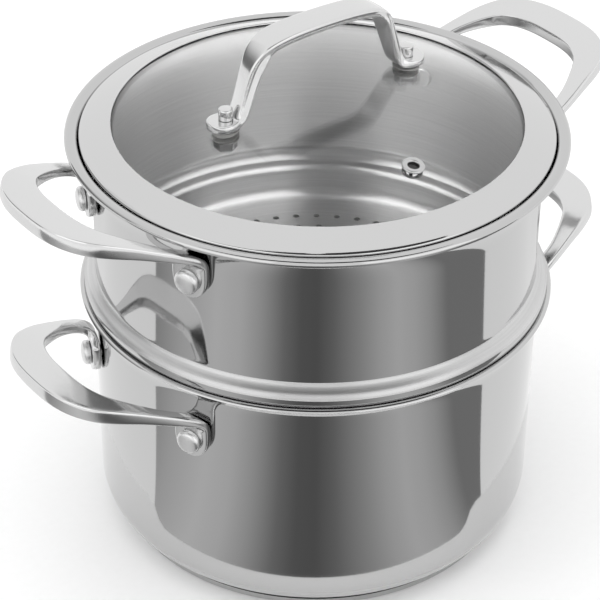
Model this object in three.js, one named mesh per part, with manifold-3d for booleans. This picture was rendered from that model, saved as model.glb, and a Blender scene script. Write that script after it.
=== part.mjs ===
// Stackable steamer pot: a stock pot, a perforated steamer that nests on its rim, and a glass lid.
// Millimetres, +Z up. The pot stands on z = 0 and the side handles lie along X.
import * as THREE from 'three';
import { mergeVertices } from 'three/addons/utils/BufferGeometryUtils.js';
import Module from 'manifold-3d';

const wasm = await Module();
wasm.setup();

// Shared fits
const GAP = 0.3; // clearance between two pieces that touch
const ROUND = 40; // facets round the large turned pieces
const FLAT = Math.cos(Math.PI / ROUND); // a facet's middle as a share of its corner radius

// Stock pot
const POT_INNER_R = 100.5;
const POT_WALL = 1;
const POT_RIM_Z = 121;
const POT_LIP_OUT = 7; // rim beyond the inside wall
const POT_FLARE_R = 18;
const POT_CORNER_R = 17;
const POT_CORNER_Z = 20;

// Base under the pot
const BASE_H = 5;
const CAP_WALL = 0.9;
const CAP_SET_IN = 9.3; // base cap inside the pot's outer wall
const CAP_CHAMFER = 1.2;

// Steamer
const STEAMER_SET_IN = 1.5; // steamer wall inside the pot's wall
const STEAMER_WALL = 1;
const STEAMER_LIP_OUT = 11.5;
const STEAMER_FLARE_R = 27;
const STEAMER_DEPTH = 96.8; // from the floor to the top of the rim
const BEAD_SEAT_OUT = 2.6; // where the bead sits on the pot's flare, beyond its wall
const BEAD_SWELL = 2.4; // bead beyond its seat, over the pot's lip
const BEAD_H = 12;
const SKIRT_CLEAR = 3; // play between the skirt and the pot wall
const SKIRT_H = 16.8;
const SKIRT_CORNER_R = 7;

// Perforated floor: ring n has six times n holes
const HOLE_R = 1.5;
const HOLE_PITCH = 9.55;
const HOLE_MARGIN = 13.5; // plain floor outside the last ring

// Rolled lips
const LIP_ROLL = 3;
const LIP_DROOP = Math.PI / 3;

// Side handles and rivets
const HANDLE_REACH = 49;
const HANDLE_HALF_W = 43.2;
const HANDLE_BAR_W = 16.2;
const HANDLE_ARM_W = 7;
const HANDLE_THICK = 6.6;
const HANDLE_ARM_T = 4.6; // thickness where the arms leave the lugs
const HANDLE_SLOPE = 0.635; // where the arms leave the wall
const HANDLE_ARCH = 14; // how far the grip has levelled out below that slope
const HANDLE_BEVEL = 1.6;
const LOOP_OUTER_START = 2.5; // where the outline starts to bend, beyond the wall
const LOOP_INNER_START = 6; // the same inside the loop, behind the wall's face
const LUG_W = 17;
const LUG_THICK = 4;
const LUG_TOP = 15; // above the rivet
const RIVET_ANGLE = THREE.MathUtils.degToRad(22.5);
const RIVET_SHANK_R = 3;
const RIVET_HEAD_R = 5.5;
const RIVET_HEAD_H = 4;
const RIVET_TAIL_H = 1.5;
const POT_RIVET_Z = 93;
const STEAMER_RIVET_DROP = 24; // below the steamer's rim

// Lid
const LID_SEAT_OUT = 3.8; // lid edge beyond the steamer's wall
const DOME_R = 300;
const GLASS_T = 3.2;
const BAND_WALL = 0.6;
const BAND_TOP_W = 12.3;
const BAND_UNDER_W = 7.8;
const STUD_X = 49;
const STUD_R = 2;
const STUD_HEAD_R = 3.2;
const STUD_HEAD_H = 4.5;
const SEAL_R = 6;
const SEAL_H = 1.6;
const NUT_R = 5.2;
const NUT_H = 4.5;
const BOW_W = 15;
const BOW_THICK = 4.4;
const BOW_H = 38.5;
const FOOT_LENGTH = 8.5; // beyond the stud
const VENT_Y = -66;
const VENT_HOLE_R = 2;
const VENT_BARREL_R = 3;
const VENT_FLANGE_R = 5;
const VENT_FLANGE_T = 1;

// Solids
function solid(geometry) {
  const bare = geometry.clone();
  bare.deleteAttribute('normal');
  bare.deleteAttribute('uv');
  const merged = mergeVertices(bare, 1e-4);
  const index = merged.index.array;
  const triangles = [];
  for (let i = 0; i < index.length; i += 3) {
    const [a, b, c] = index.slice(i, i + 3);
    if (a !== b && b !== c && c !== a) triangles.push(a, b, c);
  }
  return new wasm.Manifold(new wasm.Mesh({
    numProp: 3,
    vertProperties: new Float32Array(merged.attributes.position.array),
    triVerts: new Uint32Array(triangles),
  }));
}

function geometryOf(body) {
  const mesh = body.getMesh();
  const geometry = new THREE.BufferGeometry();
  geometry.setAttribute('position', new THREE.BufferAttribute(mesh.vertProperties, 3));
  geometry.setIndex(new THREE.BufferAttribute(mesh.triVerts, 1));
  geometry.computeVertexNormals();
  return geometry;
}

function turned(profile, facets = ROUND) {
  const points = profile.map(([r, z]) => new THREE.Vector2(r, z));
  return new THREE.LatheGeometry(points, facets).rotateX(Math.PI / 2);
}

function rod(radius, low, high, facets = 12) {
  const geometry = new THREE.CylinderGeometry(radius, radius, high - low, facets);
  return geometry.rotateX(Math.PI / 2).translate(0, 0, (low + high) / 2);
}

function arc(cx, cz, radius, from, to, steps) {
  const points = [];
  for (let i = 0; i <= steps; i++) {
    const a = from + ((to - from) * i) / steps;
    points.push([cx + radius * Math.cos(a), cz + radius * Math.sin(a)]);
  }
  return points;
}

// A trumpet flare that ends in a small rolled lip
function flare(innerR, wall, rimZ, bendR, lipR) {
  const turn = Math.acos(1 - (lipR - LIP_ROLL - innerR) / bendR);
  const rise = Math.PI / 2 - turn;
  const rollR = LIP_ROLL / (Math.sin(rise) + Math.sin(LIP_DROOP));
  const startZ = rimZ - rollR * (1 - Math.cos(rise)) - bendR * Math.sin(turn);
  const lipX = lipR - LIP_ROLL + rollR * Math.sin(rise);
  const lipZ = rimZ - rollR;
  const from = Math.PI / 2 + rise;
  const to = Math.PI / 2 - LIP_DROOP;
  const surface = (offset) => [
    ...arc(innerR + bendR, startZ, bendR - offset, Math.PI, Math.PI - turn, 4),
    ...arc(lipX, lipZ, rollR - offset, from, to, 2).slice(1),
  ];
  const heightAt = (r) => startZ + bendR * Math.sin(Math.acos(1 - (r - innerR) / bendR));
  const slopeAt = (r) => Math.PI / 2 - Math.acos(1 - (r - innerR) / bendR);
  return { startZ, outer: surface(wall), inner: surface(0).reverse(), heightAt, slopeAt };
}

// Vessels
const potFlare = flare(
  POT_INNER_R, POT_WALL, POT_RIM_Z, POT_FLARE_R, POT_INNER_R + POT_LIP_OUT,
);
const potOuterR = POT_INNER_R + POT_WALL;

function potCorner(offset, floorZ) {
  const radius = POT_CORNER_R - offset;
  const low = Math.asin((floorZ - POT_CORNER_Z) / radius);
  return arc(potOuterR - POT_CORNER_R, POT_CORNER_Z, radius, low, 0, 3);
}

const potProfile = [
  [0, BASE_H],
  ...potCorner(0, BASE_H),
  ...potFlare.outer,
  ...potFlare.inner,
  ...potCorner(POT_WALL, BASE_H + POT_WALL).reverse(),
  [0, BASE_H + POT_WALL],
];

const seatR = POT_INNER_R + BEAD_SEAT_OUT;
const seatZ = potFlare.heightAt(seatR) + GAP / Math.cos(potFlare.slopeAt(seatR));
const steamerInnerR = POT_INNER_R - STEAMER_SET_IN;
const steamerOuterR = steamerInnerR + STEAMER_WALL;
const skirtR = POT_INNER_R - SKIRT_CLEAR;
const steamerFloorZ = seatZ - SKIRT_H;
const steamerRimZ = steamerFloorZ + STEAMER_DEPTH;
const steamerFlare = flare(
  steamerInnerR, STEAMER_WALL, steamerRimZ, STEAMER_FLARE_R, steamerInnerR + STEAMER_LIP_OUT,
);

function steamerSide(offset) {
  const corner = SKIRT_CORNER_R - offset;
  const bead = seatR + BEAD_SWELL - offset;
  return [
    ...arc(skirtR - SKIRT_CORNER_R, steamerFloorZ + SKIRT_CORNER_R, corner, -Math.PI / 2, 0, 2),
    [skirtR - offset, seatZ - 0.6 + offset],
    [seatR - offset, seatZ + offset],
    [bead, seatZ + BEAD_H * 0.32],
    [bead, seatZ + BEAD_H * 0.58],
    [steamerOuterR - offset + 1.3, seatZ + BEAD_H * 0.78],
    [steamerOuterR - offset, seatZ + BEAD_H],
  ];
}

const steamerProfile = [
  [0, steamerFloorZ],
  ...steamerSide(0),
  ...steamerFlare.outer,
  ...steamerFlare.inner,
  ...steamerSide(STEAMER_WALL).reverse(),
  [0, steamerFloorZ + STEAMER_WALL],
];

function perforations() {
  const holes = [];
  const low = steamerFloorZ - 1;
  const high = steamerFloorZ + STEAMER_WALL + 1;
  const rings = Math.floor((skirtR - SKIRT_CORNER_R - HOLE_MARGIN) / HOLE_PITCH);
  for (let ring = 0; ring <= rings; ring++) {
    const count = Math.max(1, 6 * ring);
    for (let i = 0; i < count; i++) {
      const a = (2 * Math.PI * i) / count;
      const hole = rod(HOLE_R, low, high, 6);
      const r = ring * HOLE_PITCH;
      holes.push(solid(hole.translate(r * Math.cos(a), r * Math.sin(a), 0)));
    }
  }
  return wasm.Manifold.union(holes);
}

// Rivet bores on the four lugs of a vessel
function bores(rivetZ, low, high) {
  const angles = [RIVET_ANGLE, -RIVET_ANGLE, Math.PI + RIVET_ANGLE, Math.PI - RIVET_ANGLE];
  return wasm.Manifold.union(angles.map((angle) => {
    const bore = rod(RIVET_SHANK_R + GAP, low, high).rotateY(Math.PI / 2);
    return solid(bore.rotateZ(angle).translate(0, 0, rivetZ));
  }));
}

// Side handle: an arched loop, two lugs, cut back to the vessel's own outer form
function loopLine(back, out, half, power) {
  const points = [];
  for (let i = 0; i <= 8; i++) {
    const a = (Math.PI / 2) * (1 - i / 8);
    const x = back + (out - back) * Math.cos(a) ** (2 / power);
    points.push(new THREE.Vector2(x, half * Math.sin(a) ** (2 / power)));
  }
  const mirrored = points.slice(0, -1).reverse().map((p) => new THREE.Vector2(p.x, -p.y));
  return [...points, ...mirrored];
}

function handlePlan(outerR) {
  const start = outerR * Math.cos(RIVET_ANGLE) - LUG_THICK;
  const reach = outerR + HANDLE_REACH;
  const innerHalf = HANDLE_HALF_W - HANDLE_ARM_W;
  const inner = loopLine(outerR - LOOP_INNER_START, reach - HANDLE_BAR_W, innerHalf, 2.9);
  const outer = loopLine(outerR + LOOP_OUTER_START, reach, HANDLE_HALF_W, 2.7).reverse();
  return new THREE.Shape([
    new THREE.Vector2(start, HANDLE_HALF_W),
    new THREE.Vector2(start, innerHalf),
    ...inner,
    new THREE.Vector2(start, -innerHalf),
    new THREE.Vector2(start, -HANDLE_HALF_W),
    ...outer,
  ]);
}

function handleLoop(outerR) {
  const loop = new THREE.ExtrudeGeometry(handlePlan(outerR), {
    depth: HANDLE_THICK - 2 * HANDLE_BEVEL,
    bevelSize: HANDLE_BEVEL,
    bevelThickness: HANDLE_BEVEL,
    bevelOffset: -HANDLE_BEVEL,
    bevelSegments: 1,
  });
  const place = loop.attributes.position;
  for (let i = 0; i < place.count; i++) {
    const out = (place.getX(i) - outerR) / HANDLE_REACH;
    const thick = HANDLE_ARM_T + (HANDLE_THICK - HANDLE_ARM_T) * out;
    const depth = 1 - (place.getZ(i) + HANDLE_BEVEL) / HANDLE_THICK;
    const rise = HANDLE_SLOPE * HANDLE_REACH * out - HANDLE_ARCH * out ** 2;
    place.setZ(i, LUG_TOP + rise - depth * thick);
  }
  return loop;
}

function lug(outerR, angle) {
  const half = LUG_W / 2;
  const face = new THREE.Shape();
  face.moveTo(half, 0);
  face.lineTo(half, LUG_TOP - 3);
  face.lineTo(half - 3, LUG_TOP);
  face.lineTo(3 - half, LUG_TOP);
  face.lineTo(-half, LUG_TOP - 3);
  face.lineTo(-half, 0);
  face.absarc(0, 0, half, Math.PI, 2 * Math.PI);
  const plate = new THREE.ExtrudeGeometry(face, {
    depth: LUG_THICK * 2, bevelEnabled: false, curveSegments: 8,
  });
  const outward = new THREE.Vector3(Math.cos(angle), Math.sin(angle), 0);
  const along = new THREE.Vector3(-Math.sin(angle), Math.cos(angle), 0);
  const up = new THREE.Vector3(0, 0, 1);
  plate.translate(0, 0, outerR * FLAT + GAP - LUG_THICK);
  return plate.applyMatrix4(new THREE.Matrix4().makeBasis(along, up, outward));
}

function handleGeometry(outerR, outerForm, rivetZ) {
  const body = wasm.Manifold.union([
    solid(handleLoop(outerR)),
    solid(lug(outerR, RIVET_ANGLE)),
    solid(lug(outerR, -RIVET_ANGLE)),
  ]).translate([0, 0, rivetZ]);
  const vessel = turned([
    [0, 0],
    [outerR + GAP, 0],
    ...outerForm.map(([r, z]) => [r + GAP, z]),
    [0, outerForm.at(-1)[1]],
  ]);
  return geometryOf(body.subtract(solid(vessel)).subtract(bores(rivetZ, 0, outerR * 2)));
}

function rivetGeometry(innerR, outerR) {
  const head = outerR * FLAT + GAP + LUG_THICK + GAP;
  const tail = innerR * FLAT - GAP;
  const profile = [
    [0, tail - RIVET_TAIL_H],
    [RIVET_HEAD_R - 1, tail - RIVET_TAIL_H],
    [RIVET_HEAD_R - 0.5, tail],
    [RIVET_SHANK_R, tail],
    [RIVET_SHANK_R, head],
    [RIVET_HEAD_R, head],
    [RIVET_HEAD_R, head + RIVET_HEAD_H * 0.55],
    [RIVET_HEAD_R * 0.75, head + RIVET_HEAD_H * 0.9],
    [0, head + RIVET_HEAD_H],
  ];
  return turned(profile, 12).rotateY(Math.PI / 2);
}

// Lid, seated on the steamer's flare
const lidR = steamerInnerR + LID_SEAT_OUT;
const bandDrop = GLASS_T + GAP + BAND_WALL;
const lidSeatZ = steamerFlare.heightAt(lidR) + GAP / Math.cos(steamerFlare.slopeAt(lidR));
const domeSag = (r) => DOME_R - Math.sqrt(DOME_R ** 2 - r ** 2);
const lidTopZ = lidSeatZ + bandDrop + domeSag(lidR);
const dome = (r, lift = 0) => lidTopZ - domeSag(r) + lift;
const glassR = lidR - BAND_WALL - GAP;
const bandTopR = lidR - BAND_TOP_W;
const bandUnderR = lidR - BAND_UNDER_W;

function domeLine(from, to, lift, steps) {
  const points = [];
  for (let i = 0; i <= steps; i++) {
    const r = from + ((to - from) * i) / steps;
    points.push([r, dome(r, lift)]);
  }
  return points;
}

const glassProfile = (grow) => [
  ...domeLine(0, glassR + grow, -GLASS_T - grow, 5),
  ...domeLine(glassR + grow, 0, grow, 5),
];

const bandProfile = [
  ...domeLine(bandUnderR, lidR, -bandDrop, 2),
  ...domeLine(lidR, bandTopR, GAP + BAND_WALL, 3),
  ...domeLine(bandTopR, glassR + GAP, GAP, 3),
  ...domeLine(glassR + GAP, bandUnderR, -GLASS_T - GAP, 2),
  [bandUnderR, dome(bandUnderR, -bandDrop)],
];

const footZ = dome(STUD_X) + SEAL_H;
const nutTopZ = dome(STUD_X) - GLASS_T - SEAL_H - GAP;
const ventTilt = Math.asin(VENT_Y / DOME_R);
const glassGrown = solid(turned(glassProfile(GAP)));

function studBore(x) {
  return solid(rod(STUD_R + GAP, nutTopZ - 20, footZ + BOW_H).translate(x, 0, 0));
}

function ventBore(radius) {
  const bore = rod(radius, -20, 20).rotateX(-ventTilt);
  return solid(bore.translate(0, VENT_Y, dome(VENT_Y)));
}

function glassGeometry() {
  const cuts = wasm.Manifold.union([
    studBore(STUD_X), studBore(-STUD_X), ventBore(VENT_BARREL_R + GAP),
  ]);
  return geometryOf(solid(turned(glassProfile(0))).subtract(cuts));
}

function bowGeometry() {
  const half = BOW_THICK / 2;
  const top = footZ + BOW_H - half;
  const low = footZ + half;
  const tip = STUD_X + FOOT_LENGTH;
  const spine = new THREE.CatmullRomCurve3([
    [STUD_X - 5, low], [STUD_X - 8, low + 5], [STUD_X - 14, top - 9],
    [STUD_X - 21, top - 2.5], [STUD_X - 34, top - 0.4], [0, top],
  ].map(([x, z]) => new THREE.Vector3(x, 0, z)), false, 'centripetal');
  const right = [new THREE.Vector3(tip, 0, low), ...spine.getPoints(14)];
  const left = right.slice(0, -1).reverse().map((p) => new THREE.Vector3(-p.x, 0, p.z));
  const line = [...right, ...left];
  const over = [];
  const under = [];
  line.forEach((p, i) => {
    const before = line[Math.max(i - 1, 0)];
    const after = line[Math.min(i + 1, line.length - 1)];
    const t = after.clone().sub(before).normalize();
    over.push(new THREE.Vector2(p.x + t.z * half, p.z - t.x * half));
    under.push(new THREE.Vector2(p.x - t.z * half, p.z + t.x * half));
  });
  const side = new THREE.Shape([...over, ...under.reverse()]);
  const strap = new THREE.ExtrudeGeometry(side, { depth: BOW_W, bevelEnabled: false });
  strap.rotateX(Math.PI / 2).translate(0, BOW_W / 2, 0);
  const plan = new THREE.Shape();
  const end = tip - BOW_W / 2;
  plan.absarc(end, 0, BOW_W / 2, -Math.PI / 2, Math.PI / 2);
  plan.absarc(-end, 0, BOW_W / 2, Math.PI / 2, 1.5 * Math.PI);
  const round = new THREE.ExtrudeGeometry(plan, {
    depth: BOW_H + 20, bevelEnabled: false, curveSegments: 8,
  }).translate(0, 0, footZ - 10);
  const body = solid(strap).intersect(solid(round));
  return geometryOf(body.subtract(studBore(STUD_X)).subtract(studBore(-STUD_X)));
}

function studGeometry() {
  const head = footZ + BOW_THICK + GAP;
  const foot = nutTopZ - NUT_H - 1;
  return turned([
    [0, foot],
    [STUD_R, foot],
    [STUD_R, head],
    [STUD_HEAD_R, head],
    [STUD_HEAD_R, head + STUD_HEAD_H - 1],
    [STUD_HEAD_R - 1, head + STUD_HEAD_H],
    [0, head + STUD_HEAD_H],
  ], 12);
}

function sealGeometry(x, low, high) {
  const disc = solid(rod(SEAL_R, low, high, 16).translate(x, 0, 0));
  return geometryOf(disc.subtract(glassGrown).subtract(studBore(x)));
}

function nutGeometry(x) {
  const nut = solid(rod(NUT_R, nutTopZ - NUT_H, nutTopZ, 6).translate(x, 0, 0));
  return geometryOf(nut.subtract(studBore(x)));
}

function eyeletGeometry() {
  const top = GAP;
  const low = -GLASS_T * Math.cos(ventTilt) - GAP;
  const ring = turned([
    [VENT_HOLE_R, low - VENT_FLANGE_T],
    [VENT_FLANGE_R - 0.8, low - VENT_FLANGE_T],
    [VENT_FLANGE_R - 0.5, low],
    [VENT_BARREL_R, low],
    [VENT_BARREL_R, top],
    [VENT_FLANGE_R, top],
    [VENT_FLANGE_R - 0.6, top + VENT_FLANGE_T],
    [VENT_HOLE_R, top + VENT_FLANGE_T],
    [VENT_HOLE_R, low - VENT_FLANGE_T],
  ], 16);
  return ring.rotateX(-ventTilt).translate(0, VENT_Y, dome(VENT_Y));
}

// Materials
const polished = () => new THREE.MeshStandardMaterial({
  color: 0xc9c9c7, metalness: 1, roughness: 0.12,
});
const satin = () => new THREE.MeshStandardMaterial({
  color: 0xc4c3c0, metalness: 1, roughness: 0.32,
});
const aluminium = () => new THREE.MeshStandardMaterial({
  color: 0xb9bbbd, metalness: 1, roughness: 0.45,
});
const glass = () => new THREE.MeshStandardMaterial({
  color: 0xe6eeec, metalness: 0, roughness: 0.03, transparent: true, opacity: 0.3,
});
const silicone = () => new THREE.MeshStandardMaterial({
  color: 0x9a9a98, metalness: 0, roughness: 0.7,
});

// Assembly
function part(name, geometry, material) {
  const mesh = new THREE.Mesh(geometry, material);
  mesh.name = name;
  return mesh;
}

// Two handles and their four rivets, each in a group turned to its side of the vessel
function handles(prefix, innerR, outerR, outerForm, rivetZ) {
  const pair = new THREE.Group();
  const loop = handleGeometry(outerR, outerForm, rivetZ);
  const rivet = rivetGeometry(innerR, outerR);
  for (const [side, turn] of [['left', Math.PI], ['right', 0]]) {
    const holder = new THREE.Group();
    holder.rotation.z = turn;
    holder.add(part(`${prefix}_handle_${side}`, loop, satin()));
    for (const [place, sign] of [['front', -1], ['rear', 1]]) {
      const pin = part(`${prefix}_rivet_${side}_${place}`, rivet, satin());
      pin.rotation.z = sign * RIVET_ANGLE * (side === 'left' ? -1 : 1);
      pin.position.z = rivetZ;
      holder.add(pin);
    }
    pair.add(holder);
  }
  return pair;
}

const potBores = bores(POT_RIVET_Z, 0, potOuterR * 2);
const capR = potOuterR - CAP_SET_IN;
const coreR = capR - CAP_WALL - GAP;
const pot = new THREE.Group();
pot.add(part('pot_body', geometryOf(solid(turned(potProfile)).subtract(potBores)), polished()));
pot.add(part('base_core', turned([
  [0, CAP_WALL + GAP],
  [coreR - CAP_CHAMFER, CAP_WALL + GAP],
  [coreR, CAP_WALL + GAP + CAP_CHAMFER],
  [coreR, BASE_H - GAP],
  [0, BASE_H - GAP],
]), aluminium()));
pot.add(part('base_cap', turned([
  [0, 0],
  [capR - CAP_CHAMFER, 0],
  [capR, CAP_CHAMFER],
  [capR, BASE_H - GAP],
  [capR - CAP_WALL, BASE_H - GAP],
  [capR - CAP_WALL, CAP_WALL + CAP_CHAMFER],
  [capR - CAP_WALL - CAP_CHAMFER, CAP_WALL],
  [0, CAP_WALL],
]), polished()));
pot.add(handles('pot', POT_INNER_R, potOuterR, potFlare.outer, POT_RIVET_Z));

const steamerRivetZ = steamerRimZ - STEAMER_RIVET_DROP;
const steamerCuts = wasm.Manifold.union(
  perforations(), bores(steamerRivetZ, 0, steamerOuterR * 2),
);
const steamer = new THREE.Group();
steamer.add(part(
  'steamer_body', geometryOf(solid(turned(steamerProfile)).subtract(steamerCuts)), polished(),
));
steamer.add(handles(
  'steamer', steamerInnerR, steamerOuterR, steamerFlare.outer, steamerRivetZ,
));

const lid = new THREE.Group();
lid.add(part('lid_glass', glassGeometry(), glass()));
lid.add(part('lid_rim', turned(bandProfile), polished()));
lid.add(part('lid_handle', bowGeometry(), satin()));
lid.add(part('vent_eyelet', eyeletGeometry(), polished()));
const midGlass = dome(STUD_X) - GLASS_T / 2;
for (const [side, x] of [['left', -STUD_X], ['right', STUD_X]]) {
  const stud = part(`lid_stud_${side}`, studGeometry(), satin());
  stud.position.x = x;
  lid.add(stud);
  lid.add(part(`lid_seal_${side}`, sealGeometry(x, midGlass, footZ - GAP), silicone()));
  const under = sealGeometry(x, nutTopZ + GAP, midGlass);
  lid.add(part(`lid_under_seal_${side}`, under, silicone()));
  lid.add(part(`lid_nut_${side}`, nutGeometry(x), satin()));
}

const steamerPot = new THREE.Group();
steamerPot.add(pot, steamer, lid);

export default steamerPot;
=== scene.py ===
# %% [markdown]
# A steamer pot is three turned vessels stacked on one axis: a stock pot, a perforated steamer
# and a domed glass lid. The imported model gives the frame, so every piece made here is placed in
# metres round the same upright axis, with the side handles along X. Sizes are written in
# millimetres and become metres where a mesh is made.

# %% Frame
import math

import bmesh
import bpy
from mathutils import Matrix, Vector


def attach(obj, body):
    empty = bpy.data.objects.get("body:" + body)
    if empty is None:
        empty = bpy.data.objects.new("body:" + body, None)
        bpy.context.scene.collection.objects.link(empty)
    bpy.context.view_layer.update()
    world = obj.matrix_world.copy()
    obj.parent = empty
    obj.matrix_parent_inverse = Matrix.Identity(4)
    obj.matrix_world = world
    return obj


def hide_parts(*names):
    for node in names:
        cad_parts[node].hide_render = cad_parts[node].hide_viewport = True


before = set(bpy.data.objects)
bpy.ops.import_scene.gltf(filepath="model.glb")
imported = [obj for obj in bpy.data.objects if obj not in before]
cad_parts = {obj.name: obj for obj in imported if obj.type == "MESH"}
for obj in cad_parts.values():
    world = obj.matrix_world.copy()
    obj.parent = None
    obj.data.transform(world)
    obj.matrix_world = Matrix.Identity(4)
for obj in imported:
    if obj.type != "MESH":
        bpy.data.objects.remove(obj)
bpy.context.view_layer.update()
MM = 0.001

# %% [markdown]
# Most pieces are round, as a metal spinner or a lathe makes them. They could be put together from
# ready cylinders, but a section that is drawn once and spun gives every wall, bead and lip in one
# closed skin. A section is a list of (radius, height) points, and its round stretches are arcs.

# %% Turning a section
def turned(bm, section, steps=192, closed=False):
    verts = [bm.verts.new((r * MM, 0, z * MM)) for r, z in section]
    pairs = list(zip(verts, verts[1:])) + ([(verts[-1], verts[0])] if closed else [])
    edges = [bm.edges.new(pair) for pair in pairs]
    bmesh.ops.spin(
        bm, geom=verts + edges, cent=(0, 0, 0), axis=(0, 0, 1), dvec=(0, 0, 0),
        angle=2 * math.pi, steps=steps, use_merge=True, use_duplicate=False,
    )
    bmesh.ops.remove_doubles(bm, verts=bm.verts[:], dist=1e-6)


def arc(cx, cz, radius, start, end, steps):
    turns = [math.radians(start + (end - start) * i / steps) for i in range(steps + 1)]
    return [(cx + radius * math.cos(a), cz + radius * math.sin(a)) for a in turns]


print("a 10 mm quarter arc:", [(round(r, 1), round(z, 1)) for r, z in arc(0, 0, 10, 0, 90, 2)])

# %% [markdown]
# A finished bmesh becomes an object at the origin, with its place in its mesh. It takes its
# finishes, rides on a body so that it moves as the CAD does, and stands for the CAD node that it
# hides. Edges sharper than a set angle stay crisp, and castings are rounded by subdivision.

# %% Making a piece
def piece(name, bm, body, node, finishes, sharp=35, subdivide=0):
    bmesh.ops.recalc_face_normals(bm, faces=bm.faces[:])
    mesh = bpy.data.meshes.new(name)
    for face in bm.faces:
        face.smooth = True
    bm.to_mesh(mesh)
    bm.free()
    mesh.set_sharp_from_angle(angle=math.radians(sharp))
    obj = bpy.data.objects.new(name, mesh)
    bpy.context.collection.objects.link(obj)
    for finish in finishes:
        mesh.materials.append(finish)
    if subdivide:
        smooth = obj.modifiers.new("smooth", "SUBSURF")
        smooth.levels = smooth.render_levels = subdivide
    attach(obj, body)
    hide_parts(node)
    print(name, "faces:", len(mesh.polygons))


# %% [markdown]
# Colours are written as sRGB hex values, the way a colour picker gives them, and one function
# turns them to the linear light that the shader works in. Another adds a node, sets its values
# and links its inputs, so that a finish reads as a short list of nodes.

# %% Colours and nodes
def colour(code):
    parts = [int(code[i:i + 2], 16) / 255 for i in (1, 3, 5)]
    linear = [c / 12.92 if c <= 0.04045 else ((c + 0.055) / 1.055) ** 2.4 for c in parts]
    return (*linear, 1.0)


def add(tree, kind, settings=None, values=None, links=None):
    node = tree.nodes.new(kind)
    for key, value in (settings or {}).items():
        setattr(node, key, value)
    for key, value in (values or {}).items():
        node.inputs[key].default_value = value
    for key, source in (links or {}).items():
        tree.links.new(source, node.inputs[key])
    return node


def new_finish(name):
    finish = bpy.data.materials.new(name)
    finish.use_nodes = True
    tree = finish.node_tree
    shader = tree.nodes["Principled BSDF"]
    place = add(tree, "ShaderNodeTexCoord").outputs["Object"]
    return finish, tree, shader, place


print("mid grey in linear light:", round(colour("#808080")[0], 3))

# %% [markdown]
# Stainless steel shows its making. Spun sheet keeps rings of polishing marks that run round the
# axis. They could be painted on a UV map, but they depend only on the distance to the axis and on
# the height, so a noise over those two needs no map. A long, slow turn breaks each ring into arcs.

# %% Ring marks
def ring_marks(tree, place, spacing_mm, arcs=3.0):
    axes = add(tree, "ShaderNodeSeparateXYZ", links={0: place})
    flat = add(tree, "ShaderNodeCombineXYZ", links={0: axes.outputs[0], 1: axes.outputs[1]})
    radius = add(tree, "ShaderNodeVectorMath", {"operation": "LENGTH"}, links={0: flat.outputs[0]})
    turn = add(
        tree, "ShaderNodeMath", {"operation": "ARCTAN2"},
        links={0: axes.outputs[1], 1: axes.outputs[0]},
    )
    rings = add(
        tree, "ShaderNodeCombineXYZ",
        links={0: radius.outputs["Value"], 1: axes.outputs[2], 2: turn.outputs[0]},
    )
    scale = 1 / (spacing_mm * MM)
    spread = add(
        tree, "ShaderNodeVectorMath", {"operation": "MULTIPLY"},
        {1: (scale, scale, arcs)}, {0: rings.outputs[0]},
    )
    return add(
        tree, "ShaderNodeTexNoise", values={"Scale": 1.0, "Detail": 3.0, "Roughness": 0.6},
        links={"Vector": spread.outputs[0]},
    )


# %% [markdown]
# Outside, the sheet is buffed to a near mirror. What is left of the marks is far too fine to see
# one by one, but it softens a reflection a little, so the rings drive the roughness and a very
# low bump. The lid's band is the same finish in a lighter tone, which is painted light: it makes
# the band read brighter than the same steel would.

# %% Mirror-polished stainless steel
# Gives the eye clear reflections with a faint softness. The marks are drawn at 0.8 mm to show.
def polished_sheet(name, tone):
    finish, tree, shader, place = new_finish(name)
    marks = ring_marks(tree, place, 0.8)
    shader.inputs["Base Color"].default_value = colour(tone)
    shader.inputs["Metallic"].default_value = 1.0
    gloss = add(
        tree, "ShaderNodeMapRange", values={"To Min": 0.035, "To Max": 0.085},
        links={"Value": marks.outputs["Fac"]},
    )
    tree.links.new(gloss.outputs[0], shader.inputs["Roughness"])
    lines = add(
        tree, "ShaderNodeBump", values={"Strength": 0.02, "Distance": 0.00005},
        links={"Height": marks.outputs["Fac"]},
    )
    tree.links.new(lines.outputs[0], shader.inputs["Normal"])
    return finish


mirror_steel = polished_sheet("stainless_sheet_mirror_polished", "#C3C3C3")
# The band's lighter tone is painted light: the same steel, made paler to read brighter.
lightened_band_steel = polished_sheet("stainless_band_painted_lighter", "#CECECE")
print("finishes:", mirror_steel.name, lightened_band_steel.name)

# %% [markdown]
# Inside, the vessels keep a satin brush. A brush smears a reflection across its rings, so light
# runs up the wall and towards the middle of the floor. Bump alone would need more samples than a
# render has, so the shader's own anisotropy does it, turned across the rings round the Z axis.

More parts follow.
